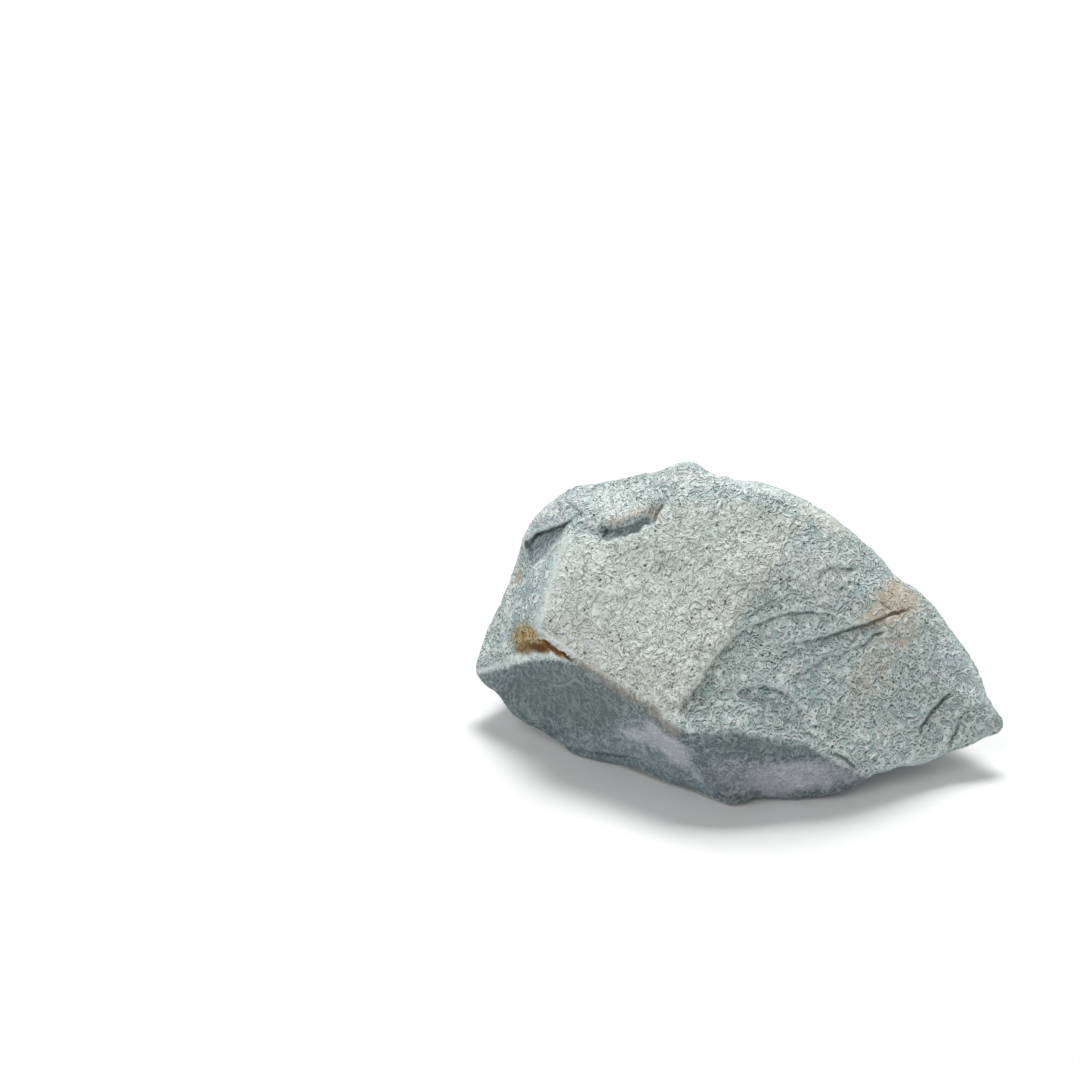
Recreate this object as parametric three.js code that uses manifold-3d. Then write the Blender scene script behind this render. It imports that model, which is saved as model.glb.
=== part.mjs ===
// A rough, broken lump of pale jade, in one piece, lying on the small flat under it.
// Millimetres, +Z up, standing on z = 0 and centred on the origin; its broken front faces -Y.

import * as THREE from 'three';
import { ConvexHull } from 'three/addons/math/ConvexHull.js';
import { ImprovedNoise } from 'three/addons/math/ImprovedNoise.js';
import { TessellateModifier } from 'three/addons/modifiers/TessellateModifier.js';
import { mergeVertices } from 'three/addons/utils/BufferGeometryUtils.js';
import Module from 'manifold-3d';

// The front is drawn as an eye sees it from above the ground. A drawn point is [across, up, near]:
// its place on the drawing, and how far it lies in front of the drawing's plane.
const VIEW_TILT = THREE.MathUtils.degToRad(25);
const EYE_DISTANCE = 925;
const EYE_ACROSS = -45.7;
const EYE_UP = 59.4;

const CORE = new THREE.Vector3(-2, 34, 30); // a point inside that every face can be seen from
const LONGEST_EDGE = 3.9; // of a finished triangle
const SPLITTING_ROUNDS = 40;
const ROUNDING = [0.45, 0.3]; // one pass each: how far a point goes towards the middle of its neighbours
const WAVES = [
  { length: 17, height: 0.7 },
  { length: 7, height: 0.3 },
];
const GROUND_BOX = 300;

// The outline of the front, clockwise from the left tip.
const outline = [
  [-61.4, 29.2, -33], [-59.7, 33.5, -33], [-58, 38, -32.5], [-56, 43, -31.5], [-53.5, 48, -30.5],
  [-50.5, 52.5, -29], [-50.2, 57, -28.5], [-49.6, 60.5, -28], [-48.5, 63.3, -28], [-46, 66.3, -27.5],
  [-42, 69.6, -27], [-37.5, 72, -26], [-31, 73.4, -22.5], [-25, 74.6, -17.5], [-20, 75.3, -12.5],
  [-16.5, 77.2, -8.5], [-13, 77.8, -6], [-9.2, 77.5, -5.5], [-6.3, 73.8, -3.5], [-2, 73.4, -3],
  [3, 73.7, -2.5], [7, 72.3, -2], [12, 70, -1.5], [17, 68, -2], [21, 65.3, -2.5], [25, 62, -2.5],
  [29, 59, -3.5], [32, 56.5, -5], [33.5, 54, -6], [35.5, 51.3, -7.5], [39, 49, -9],
  [42.5, 46.5, -11], [46, 43, -12.5], [49.5, 38, -14], [53, 33, -15], [55.3, 28.5, -15.5],
  [56.8, 24.3, -15], [58.8, 21, -13], [61.2, 17.6, -10.5], [60.4, 15.3, -9], [57, 14.2, -8],
  [50, 11.2, -6], [43, 8.8, -4], [36, 7.5, -2], [32.5, 6.3, -1], [29, 4.3, 0], [25, 2, 0.5],
  [21, 0.3, 1], [15, -0.5, 1], [9, -0.3, 0.9], [4, 0.2, 1], [0.5, -1.8, 4.6], [-2.5, -2.4, 5.6],
  [-6, -1.2, 3.6], [-9, 0.4, 0.8], [-14, 3, -3], [-20, 5.4, -7], [-27, 7.3, -11.5], [-35, 9, -16.5],
  [-38.5, 10.3, -19], [-42, 13, -21], [-46, 15.2, -23], [-50, 17.3, -26], [-53.5, 20, -29.5],
  [-56.5, 24, -32], [-60, 27.6, -33],
];

// The raised slab that is the main face: its edge, from the left corner round to the top.
const slabFoot = [
  [-46, 38.5, -8], [-42, 36, -5.5], [-38, 32.8, -2.8], [-34.5, 30.3, -0.2], [-30, 28, 2.6],
  [-25, 25.3, 5.8], [-20, 21.8, 9.2], [-16.5, 18.8, 11.6], [-14, 16, 13],
];
const slabCliff = [
  [-14, 20.3, 12.8], [-10.5, 25.5, 12.9], [-6.5, 31, 13], [-3, 36.5, 12.8], [0, 41.5, 12.3],
];
const slabTurn = [[3, 47, 11.5], [5.5, 51, 10.6], [8, 55, 9.5], [11.5, 60.5, 7.3]];
const slabLeft = [
  [-45.3, 43, -9], [-43.5, 49, -9.9], [-41, 55, -10.6], [-38.5, 60, -10.9], [-37.5, 63.5, -12],
];
const slabHead = [
  [-33, 59.3, -7.7], [-28, 60, -5.2], [-23.5, 61, -3.2], [-19.5, 63.5, -2.2], [-17.3, 67.3, -2.7],
];
const slabFace = [
  [-36, 44, -3.4], [-36, 54, -6.7], [-27, 36, 2.2], [-25, 46, 0.2], [-25, 54, -2.6], [-15, 30, 10],
  [-15, 41, 6.6], [-14, 52, 3.4], [-12, 62, 1], [-6, 46, 9.4], [-3, 56, 7.4], [0, 64, 4.8],
];

// The rim behind the main face, and the shoulder and groove where the slab's head broke away.
const rim = [
  [-14, 69.3, -1.8], [-9, 69.8, -0.2], [-4, 70.5, 1], [2, 71, 2.5], [8, 69.3, 4.3], [15, 66, 4.3],
  [20, 63.3, 3], [25, 60.5, 0.7],
];
const shoulder = [
  [-35, 67, -12.8], [-31, 65.3, -10.8], [-26, 65.6, -8.3], [-21, 66.9, -6], [-18.5, 69.5, -4.4],
  [-28, 70, -16], [-35, 70, -20], [-19, 72.5, -8.5],
];
const groove = [[-31, 61.3, -10.7], [-25.5, 62.4, -8.9], [-21, 64.2, -6.8]];
const lobe = [[-46, 64, -24.6], [-42.5, 65.8, -20.6], [-39.5, 66.8, -17.2], [-39, 69.3, -20.6]];
const lobeCrease = [[-48, 59.9, -27], [-45, 61.2, -25.3], [-41, 62.6, -20.4], [-37.2, 65.3, -15.4]];
const lobeHollow = [[-46.5, 57.5, -25.5], [-43.3, 58.7, -19.5], [-41.2, 59.3, -15]];

// The left side, the stained pocket under the slab's corner, and the keel below them.
const leftSide = [
  [-54, 41, -25.5], [-50, 46, -20.5], [-47.3, 42.3, -13], [-47, 51.5, -19.5], [-44.3, 54, -15],
];
const pocket = [
  [-54.5, 35, -25], [-50.5, 36.5, -19.5], [-47, 35.5, -15], [-43.3, 34.2, -10.8],
  [-51.5, 40.5, -20.7],
];
const keel = [
  [-56, 30.3, -27], [-50.5, 31.8, -19.5], [-45.5, 32.8, -13], [-41, 32.2, -8.2], [-38, 31, -4.6],
];
const darkFace = [
  [-52, 25.5, -26], [-45, 25, -17.6], [-38, 24, -9.4], [-31, 21.5, -3], [-38, 15.5, -16.3],
  [-31, 15.3, -8.2], [-25, 17.3, 0.6], [-20, 18.6, 7.4],
];
const lowerFace = [
  [-33, 12, -12.8], [-26, 12.5, -4.8], [-19.5, 12.5, 2.5], [-34, 10.3, -14.5], [-27, 9.6, -9.2],
  [-20.5, 8.3, -3.8], [-14.5, 6.8, 0.8],
];

// The prow: the corner where the lower faces meet, and the edge that runs right from it.
const prow = [[-11, 11.3, 9.7], [-8.3, 6, 5.8], [-6.3, 2, 3.6]];
const sill = [
  [-10, 15.3, 13.7], [-5, 15.2, 14.3], [0, 15.2, 14.2], [5, 15.2, 13.5], [10, 15, 12.3],
  [14, 14.6, 11.2], [17.5, 12.6, 9.4], [20.7, 10.7, 7.9], [24, 9, 6], [27.7, 7.2, 3.5],
];
const apron = [
  [-4, 9, 10.3], [4, 8.3, 9.8], [12, 7.3, 8.2], [18.5, 5.6, 5.7], [24, 4.8, 3.5], [-3.5, 2.3, 4.8],
  [3, 2, 4], [10, 2, 3.9], [17, 1.6, 3],
];

// Right of the slab: the valley at its cliff, the scalloped face, and the faces out to the right tip.
const valley = [[-11, 20.2, 11.7], [-7, 24.7, 10.7], [-3, 29.7, 10.1], [0.5, 35, 10], [4, 40, 10.2]];
const scallops = [
  [-12, 17.3, 12.9], [-4, 19.3, 13.2], [2.5, 18, 13.5], [0.5, 24.3, 12.3], [5.5, 26.3, 12],
  [10.5, 25, 11.8], [14.7, 21.3, 11.3], [8.5, 21, 10.9], [13, 17.7, 11], [5, 31.5, 11.2],
  [11, 34.7, 10.7], [6, 41.6, 10.3], [12.5, 43.3, 9.5], [20, 42.8, 8], [12, 40, 10.6],
  [19.5, 39.8, 9], [14.5, 36, 9.9], [21, 37.3, 8.2], [28, 40, 5.2], [10, 47.5, 10.2], [19, 49, 8],
  [17, 56.5, 7.2], [24.5, 54.5, 3.7], [27, 47, 5.4], [21, 29, 9.6], [19, 21.5, 10.2], [20, 15, 9.4],
];
const farRight = [
  [31.5, 45.5, 2.5], [36.5, 46.8, -2.6], [35, 41.7, 1.2], [41, 41.5, -4.5], [34.5, 36, 2.8],
  [28, 33.5, 7], [32.5, 27, 4.8], [27.5, 19.5, 7.2], [29, 12.2, 4.6], [34.5, 14.5, 2.5],
  [34, 20.5, 3.5], [40.3, 34, -2.3], [38.7, 28, -0.2], [38.3, 21, 0], [39.3, 14, -0.8],
  [37, 10, -0.5], [46, 34.5, -8.6], [50, 30, -10.8], [46, 27, -6], [44.3, 21.2, -4.2],
  [48.3, 24.3, -7], [52.5, 24, -10], [50.3, 19, -7.3], [48.2, 14.5, -5.6], [44, 13, -3.6],
  [55, 17.8, -8.3],
];

// The sides that the drawing doesn't show, as [right, back, height] over the ground: the back with
// a ledge and a scallop of its own, the underside, and what the resting flat is cut from.
const back = [
  [-40, 65, 45], [-22, 54, 55], [-8, 49, 57], [8, 43, 55.5], [22, 41, 49.5], [35, 38, 38.5],
  [46, 37, 27], [-52, 60, 31], [-36, 73, 39], [-14, 72, 43], [7, 65.5, 41.5], [25, 56, 38],
  [38, 48, 29], [51, 36, 17], [-57, 52, 19], [-45, 70, 25], [-21, 80, 31], [2, 77, 35],
  [23, 69, 28], [39, 56, 18], [-52, 54, 8.5], [-37, 70, 11], [-16, 80, 15], [5, 79, 16],
  [23, 69, 11], [37, 53, 9],
];
const backLedge = [
  [-31, 60, 50], [-21, 60.5, 51.8], [-11, 57.5, 53], [0, 54.5, 52], [9, 52.5, 50], [17, 48.5, 48],
  [-30, 63.3, 47], [-20, 63.5, 48.5], [-9.5, 60.6, 49.2], [1, 57.8, 48.3], [10.5, 55.6, 46.6],
  [19, 51.3, 45],
];
const backScallop = [
  [-18, 80.3, 25], [-13.5, 79.7, 30.5], [-5, 79, 31.5], [2.5, 78.7, 27.5], [4, 79, 21.5],
  [-11, 77, 24.5], [-4.5, 76.6, 25], [-2, 77.4, 20], [-10, 78.2, 19],
];
const underside = [
  [-35, 61, 3], [-14, 72, 3.5], [7, 71, 3.5], [25, 59, 3], [37, 41, 4], [46, 25, 5.5], [36, 16, 4],
  [-46, 46, 6], [-34, 36, 1], [52, 22, 8],
];
const restingFlat = [
  [-21, 22, -1], [-26, 36, -1.1], [-21, 50, -1.2], [-5, 57, -1.2], [13, 51, -1.2], [23, 37, -1.1],
  [23, 19, -1], [11, 9, -1], [-6, 9, -1], [-3, 34, -1.8],
];

// A drawn point, carried along its line of sight to its own depth and stood up from the drawing.
function drawn([across, up, near]) {
  const shrink = (EYE_DISTANCE - near) / EYE_DISTANCE;
  const x = EYE_ACROSS + (across - EYE_ACROSS) * shrink;
  const rise = EYE_UP + (up - EYE_UP) * shrink;
  const tilted = new THREE.Vector3(x, rise, near);
  return tilted.applyAxisAngle(new THREE.Vector3(1, 0, 0), Math.PI / 2 - VIEW_TILT);
}

const stood = ([right, behind, height]) => new THREE.Vector3(right, behind, height);

const corners = [
  ...[
    outline, slabFoot, slabCliff, slabTurn, slabLeft, slabHead, slabFace, rim, shoulder, groove, lobe,
    lobeCrease, lobeHollow, leftSide, pocket, keel, darkFace, lowerFace, prow, sill, apron, valley,
    scallops, farRight,
  ].flat().map(drawn),
  ...[back, backLedge, backScallop, underside, restingFlat].flat().map(stood),
];

// The corners joined into triangles, each to its nearest neighbours round the core.
function joinCorners(points) {
  const towards = points.map((point) => point.clone().sub(CORE).normalize());
  const placeOf = new Map(towards.map((direction, i) => [direction, points[i]]));
  const hull = new ConvexHull().setFromPoints(towards);
  const places = [];
  for (const face of hull.faces) {
    let edge = face.edge;
    do {
      places.push(placeOf.get(edge.head().point));
      edge = edge.next;
    } while (edge !== face.edge);
  }
  return new THREE.BufferGeometry().setFromPoints(places);
}

// For each point, the points that an edge joins it to.
function neighboursOf(geometry) {
  const index = geometry.index.array;
  const neighbours = Array.from({ length: geometry.attributes.position.count }, () => new Set());
  for (let i = 0; i < index.length; i += 3) {
    for (let corner = 0; corner < 3; corner++) {
      const from = index[i + corner];
      const to = index[i + ((corner + 1) % 3)];
      neighbours[from].add(to);
      neighbours[to].add(from);
    }
  }
  return neighbours;
}

// Wears the ridges round: every point moves a share of the way to the middle of its neighbours.
function wearRound(geometry, passes) {
  const position = geometry.attributes.position;
  const neighbours = neighboursOf(geometry);
  for (const share of passes) {
    const before = neighbours.map((_, i) => new THREE.Vector3().fromBufferAttribute(position, i));
    neighbours.forEach((around, i) => {
      const middle = new THREE.Vector3();
      for (const j of around) middle.add(before[j]);
      middle.divideScalar(around.size);
      position.setXYZ(i, ...before[i].clone().lerp(middle, share));
    });
  }
}

// Slow waves over the broken faces, so that none is a true plane.
function ripple(geometry) {
  const noise = new ImprovedNoise();
  geometry.computeVertexNormals();
  const { position, normal } = geometry.attributes;
  const point = new THREE.Vector3();
  const outward = new THREE.Vector3();
  for (let i = 0; i < position.count; i++) {
    point.fromBufferAttribute(position, i);
    outward.fromBufferAttribute(normal, i);
    const rise = WAVES.reduce(
      (sum, { length, height }) =>
        sum + height * noise.noise(point.x / length, point.y / length, point.z / length),
      0,
    );
    position.setXYZ(i, ...point.addScaledVector(outward, rise));
  }
}

function solidOf(wasm, geometry) {
  const bare = new THREE.BufferGeometry().setAttribute('position', geometry.attributes.position);
  if (geometry.index) bare.setIndex(geometry.index);
  const merged = mergeVertices(bare);
  return new wasm.Manifold(
    new wasm.Mesh({
      numProp: 3,
      vertProperties: merged.attributes.position.array,
      triVerts: new Uint32Array(merged.index.array),
    }),
  );
}

function geometryOf(solid) {
  const { vertProperties, triVerts } = solid.getMesh();
  const geometry = new THREE.BufferGeometry();
  geometry.setAttribute('position', new THREE.BufferAttribute(vertProperties, 3));
  geometry.setIndex(new THREE.BufferAttribute(triVerts, 1));
  return geometry;
}

// Cuts off what reaches below the ground, which leaves the flat that the stone rests on.
async function cutFlat(geometry) {
  const wasm = await Module();
  wasm.setup();
  const ground = new THREE.BoxGeometry(GROUND_BOX, GROUND_BOX, GROUND_BOX);
  ground.deleteAttribute('normal');
  ground.deleteAttribute('uv');
  ground.translate(0, 0, -GROUND_BOX / 2);
  return geometryOf(solidOf(wasm, geometry).subtract(solidOf(wasm, ground)));
}

function centreOnGround(geometry) {
  geometry.computeBoundingBox();
  const { min, max } = geometry.boundingBox;
  geometry.translate(-(min.x + max.x) / 2, -(min.y + max.y) / 2, -min.z);
}

async function makeStone() {
  const split = new TessellateModifier(LONGEST_EDGE, SPLITTING_ROUNDS).modify(joinCorners(corners));
  const worn = mergeVertices(split);
  wearRound(worn, ROUNDING);
  ripple(worn);
  const geometry = await cutFlat(worn);
  centreOnGround(geometry);
  geometry.computeVertexNormals();
  const jade = new THREE.MeshStandardMaterial({ color: 0xaab5ac, roughness: 0.72, metalness: 0 });
  const stone = new THREE.Mesh(geometry, jade);
  stone.name = 'stone';
  return stone;
}

const model = new THREE.Group();
model.add(await makeStone());

export default model;
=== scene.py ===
"""A rough, broken lump of pale jade, laid out as an add-on: the stone, and the stage that shows it."""

import math
import random
from typing import NamedTuple

import bmesh
import bpy
import numpy as np
from bpy.props import FloatProperty, FloatVectorProperty, IntProperty, PointerProperty
from bpy.types import Operator, Panel, PropertyGroup
from mathutils import Euler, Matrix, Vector, noise


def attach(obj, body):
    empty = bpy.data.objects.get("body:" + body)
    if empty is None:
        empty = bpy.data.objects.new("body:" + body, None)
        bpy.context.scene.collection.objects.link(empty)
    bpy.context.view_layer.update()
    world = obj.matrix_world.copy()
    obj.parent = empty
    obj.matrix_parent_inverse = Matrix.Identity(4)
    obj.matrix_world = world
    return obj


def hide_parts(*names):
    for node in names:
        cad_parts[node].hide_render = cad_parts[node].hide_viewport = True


bl_info = {
    "name": "Rough Jade Stone",
    "version": (1, 0, 0),
    "blender": (4, 5, 0),
    "location": "View3D > Sidebar > Jade",
    "description": "Carves and colours a rough lump of jade over its solid, and sets a stage for it",
    "category": "Add Mesh",
}

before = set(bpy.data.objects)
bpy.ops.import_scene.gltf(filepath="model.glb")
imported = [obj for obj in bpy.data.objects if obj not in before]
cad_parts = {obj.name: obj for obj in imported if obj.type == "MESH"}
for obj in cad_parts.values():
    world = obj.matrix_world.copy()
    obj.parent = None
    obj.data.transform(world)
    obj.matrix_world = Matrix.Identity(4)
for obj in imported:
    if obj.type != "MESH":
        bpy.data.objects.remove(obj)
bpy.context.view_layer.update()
MM = 0.001

# Heights over the ground, in millimetres: the stone lies flat under the first, and its roughness
# begins at the second and is whole at the third. Then the depth of the stained pocket.
FLAT_BELOW = 0.08
SMOOTH_BELOW = 0.1
ROUGH_ABOVE = 1.2
POCKET_DEPTH = 0.7

# How many times the places are evened: to round an edge, to finish the skin, and to find what bulges.
ROUNDING_PASSES = 50
FINISHING_PASSES = 2
BULGE_PASSES = 6

# In millimetres: how far below the pale strokes, painted highlights, the dark ones lie that are painted as
# their shade, and how far noise is moved to make it other noise.
SHADE_WAY = (-0.1, 0.12, 0.34)
OTHER_NOISE = (31, 17, 53)

# Each lamp's side and place, in metres.
LAMPS = {"key": (0.8, (0.06, 1.0, 1.9)), "fill": (1.4, (-0.8, -1.2, 1.2))}
SENSOR_WIDTH = 36


def screen_colour(red, green, blue):
    """The scene's colour for one as a screen shows it, each part from 0 to 255."""
    return tuple(((part / 255 + 0.055) / 1.055) ** 2.4 for part in (red, green, blue))


def smooth_step(low, high, values):
    """0 below low, 1 above high, and an even curve between them."""
    share = np.clip((values - low) / (high - low), 0, 1)
    return share * share * (3 - 2 * share)


class Eye:
    """Someone who draws the stone. A drawn point is (across, up), in millimetres, on an upright sheet
    that goes through zero and is tilted to face the eye."""

    def __init__(self, azimuth, elevation, distance, centre, zero):
        turn = math.radians(azimuth)
        tilt = math.radians(elevation)
        ahead = np.array((-math.sin(turn), math.cos(turn), 0))
        top = np.array((0, 0, 1))
        self.right = np.array((math.cos(turn), math.sin(turn), 0))
        self.rise = ahead * math.sin(tilt) + top * math.cos(tilt)
        self.near = top * math.sin(tilt) - ahead * math.cos(tilt)
        self.elevation = elevation
        self.distance = distance
        self.centre = centre
        self.zero = np.array(zero)
        self.place = self.zero + self.right * centre[0] + self.rise * centre[1] + self.near * distance

    def drawn(self, places):
        """Where on the drawing the places appear."""
        rest = places - self.zero
        scale = self.distance / (self.distance - rest @ self.near)
        across = self.centre[0] + (rest @ self.right - self.centre[0]) * scale
        up = self.centre[1] + (rest @ self.rise - self.centre[1]) * scale
        return np.stack((across, up), axis=1)

    def towards(self, places):
        """The direction to the eye from each place."""
        way = self.place - places
        return way / np.linalg.norm(way, axis=1, keepdims=True)

    def sees(self, places, normals):
        """How far each place faces the eye, from 0 to 1."""
        return smooth_step(0.02, 0.2, np.sum(self.towards(places) * normals, axis=1))


# The camera stands at the front eye. The hidden eyes look at the back and at both ends.
FRONT_EYE = Eye(azimuth=0, elevation=25, distance=925, centre=(-45.7, 59.4), zero=(0.19, -36.91, 0))
HIDDEN_EYES = tuple(
    Eye(azimuth, elevation, distance=5000, centre=(0, 30), zero=(0, 0, 0))
    for azimuth, elevation in ((180, 30), (105, 20), (-105, 20))
)


class Crack(NamedTuple):
    """A groove along drawn points, narrow at its ends. Its dark is painted shade in the groove;
    its pale is a paler lip beside it, partly wear and partly painted highlight.
    """

    points: tuple
    width: float
    depth: float
    dark: float
    pale: float = 0.0


class Ledge(NamedTuple):
    """A step along drawn points. The side on the left of the way drawn stands up, the other is sunk.
    Its dark is a painted shadow on the sunk side; its pale edge is partly wear, partly painted highlight.
    """

    points: tuple
    rise: float
    drop: float
    reach: float
    dark: float
    pale: float
    soft: float = 0.35


class Line(NamedTuple):
    """A soft line of one colour along drawn points."""

    points: tuple
    width: float
    strength: float


class Swell(NamedTuple):
    """Moves the stone's edge up and to the right on the drawing, round drawn points."""

    points: tuple
    push: float
    reach: float
    aside: float = 0.0


class Rounding(NamedTuple):
    """An edge along drawn points that is worn round."""

    points: tuple
    reach: float


class Patch(NamedTuple):
    """A soft patch round a drawn point, used for stains, painted shade and painted light alike, with its
    half sizes and how far it is turned, in degrees.
    """

    centre: tuple
    size: tuple
    turn: float
    strength: float


# What follows is drawn as the front eye sees it, in millimetres, from left to right and upwards.
LEDGES = (
    # the raised slab's left side, its corner, its long foot and its cliff
    Ledge(((-39.8, 63), (-40.8, 59), (-42.4, 53), (-43.8, 47), (-45.2, 42.5), (-46.2, 38.9)),
          0.8, 1.2, 3.4, 0.0, 0.3, 1.3),
    Ledge(((-46.4, 38.7), (-44, 37.3), (-41.5, 35.6), (-38.6, 33.3), (-36.3, 31.5)),
          0.6, 1.6, 2.0, 0.3, 0.4, 0.5),
    Ledge(((-36.3, 31.5), (-33, 29.5), (-30, 28), (-25, 25.3), (-20, 22), (-16.5, 19)),
          0.3, 0.2, 3.0, 0.0, 0.3, 1.5),
    Ledge(((-14.4, 19.2), (-12.7, 23), (-11.1, 24.8), (-9.7, 25.4), (-8, 28), (-6.3, 31), (-4.3, 33.7),
           (-2.2, 35.9), (0.3, 39)), 0.3, 1.3, 3.4, 0.3, 0.1, 0.7),
    # the jagged head of the slab, and the shoulder's lip over it
    Ledge(((-16.9, 67.8), (-18.2, 66.2), (-19.4, 64.4), (-20.4, 62.8), (-21.6, 62.9), (-22.7, 62),
           (-23.2, 60.9), (-24.6, 60.8), (-26.2, 60), (-27.2, 60.5), (-28.1, 59.6), (-29, 60),
           (-30.2, 59), (-31.8, 58.4)), 0.7, 1.8, 2.6, 0.0, 0.4, 0.25),
    Ledge(((-34.4, 60.6), (-31.4, 62), (-29.5, 62.7), (-27, 63.2), (-24.6, 63.8), (-22.4, 64.6),
           (-21, 65.6), (-19.8, 67), (-18.4, 69)), 1.5, 0.8, 5.0, 0.0, 0.0, 1.3),
    # the lobe over its crease
    Ledge(((-49.6, 57.2), (-48.6, 59), (-47.4, 60.1), (-45, 61.5), (-42.5, 62.2), (-40.6, 62.8),
           (-39.6, 63.4)), 1.9, 2.0, 3.0, 0.1, 0.3, 0.35),
    Ledge(((-41, 62.4), (-39.8, 63.3), (-37.8, 64.8), (-36, 65.8)), 0.6, 0.6, 1.6, 0.1, 0.3, 0.3),
    Ledge(((-40.3, 69.3), (-38.6, 67.6), (-37, 66.1), (-35.6, 65.2)), 0.4, 0.4, 2.0, 0.2, 0.1),
    # the keel and the sill, where the light faces turn under
    Ledge(((-61, 28.6), (-58, 29.6), (-55, 30.4), (-50, 31.7), (-47, 32.7), (-45, 32.8), (-41, 32.4),
           (-38.5, 31.4), (-37, 30.6)), 0.5, 0.35, 2.2, 0.0, 0.6, 0.8),
    Ledge(((-14, 15.8), (-8, 15.1), (0, 14.9), (8, 14.8), (13, 14.8), (15.6, 13.6), (17.6, 11.6),
           (20.5, 10.3)), 0.25, 0.3, 2.6, 0.0, 0.15, 1.0),
    # scallops and steps of the right face
    Ledge(((-1.5, 24), (0.5, 25.4), (3, 26), (6, 26), (9, 25.2), (11.5, 23.6), (13, 21.7), (14.2, 20.5),
           (16, 20)), 0.6, 2.0, 4.4, 0.3, 0.1, 0.6),
    Ledge(((-1.5, 36.7), (0.3, 38.6), (2.8, 40), (5.5, 41), (8.5, 42.1), (12, 42.9), (16, 43.1), (19.5, 42.9),
           (22.8, 42)), 0.5, 1.3, 2.8, 0.25, 0.1, 0.45),
    Ledge(((9, 35.6), (14.5, 36.6), (17.5, 37), (20, 37.5), (22, 38.2), (25, 39.2), (27.5, 39.9),
           (30, 40.8), (34, 42.3)), 0.6, 1.5, 3.2, 0.35, 0.1, 0.4),
    Ledge(((19.4, 14.6), (20, 16.6), (20.4, 18.2), (21.3, 19.4), (22, 20.9), (23.2, 21.5), (24.3, 21.4),
           (25.6, 23)), 0.8, 0.8, 2.8, 0.1, 0.3, 0.35),
    Ledge(((40.4, 14.6), (41.1, 16.6), (42, 17.8), (43.2, 19.2), (44.2, 20.9), (45.7, 22.6), (48.6, 25.4)),
          0.5, 1.3, 3.0, 0.2, 0.15, 0.35),
    Ledge(((47.2, 11.4), (48.2, 14.2), (49.2, 16.8), (50.6, 20)), 0.5, 0.7, 3.0, 0.15, 0.1, 0.5),
    Ledge(((24.4, 34.6), (27, 35.3), (28.6, 35.6), (29.8, 37), (30.6, 38), (33.2, 38.9)),
          0.3, 0.6, 2.2, 0.25, 0.1, 0.35),
    Ledge(((11, 28.4), (14, 29.3), (17, 31), (20, 33.3), (22.5, 33.2), (24.5, 35)),
          0.5, 1.2, 3.0, 0.2, 0.1, 0.5),
    Ledge(((17, 50.5), (19, 52.6), (21.8, 53.6), (24.5, 53), (27.5, 53.2)), 0.5, 0.5, 2.4, 0.2, 0.2, 0.4),
    Ledge(((26, 26), (28.5, 29), (33, 31.5), (37, 31), (39, 33.6)), 0.3, 0.3, 3.2, 0.0, 0.0, 0.9),
    Ledge(((-4, 53), (0, 50), (3.5, 48.6), (8, 49), (12, 52)), 0.25, 0.4, 3.4, 0.0, 0.1, 0.9),
    Ledge(((-38, 46), (-33, 47.5), (-28, 46), (-24, 48), (-19, 47)), 0.2, 0.3, 3.2, 0.0, 0.1, 0.9),
    Ledge(((-28, 36), (-24, 37.5), (-20, 35.6), (-15, 37)), 0.2, 0.25, 2.8, 0.0, 0.1, 0.8),
    # the foot's lip, and the ledges and folds of the lower faces
    Ledge(((-5.4, 1.3), (-3, 1), (0, 1), (3, 0.7), (6, 0.4)), 0.5, 0.5, 1.8, 0.15, 0.1, 0.5),
    Ledge(((-42, 12.6), (-38.3, 12.3), (-34, 11.2), (-30, 10.6), (-26, 10), (-21.5, 9.6)),
          0.5, 1.1, 2.4, 0.4, 0.25, 0.35),
    Ledge(((-49, 20), (-44, 17), (-38, 15.2), (-33, 15.4), (-28, 17), (-22, 19.4)),
          0.3, 0.2, 3.0, 0.0, 0.1, 0.9),
    Ledge(((-50, 26), (-46, 28), (-43, 27), (-40.4, 26.8), (-38.2, 27.6), (-36.2, 28.8)),
          0.3, 0.4, 2.0, 0.1, 0.1, 0.4),
    Ledge(((-54, 22), (-50, 21), (-46, 22.4), (-42, 21.5), (-37, 23)), 0.3, 0.4, 2.4, 0.1, 0.05, 0.5),
    Ledge(((-34, 20), (-30, 21.5), (-26, 21), (-22, 22.5)), 0.2, 0.3, 2.0, 0.1, 0.05, 0.5),
    Ledge(((8, 7), (14, 6), (20, 7.2), (25, 5.6)), 0.25, 0.25, 2.6, 0.0, 0.1, 0.7),
)

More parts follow.
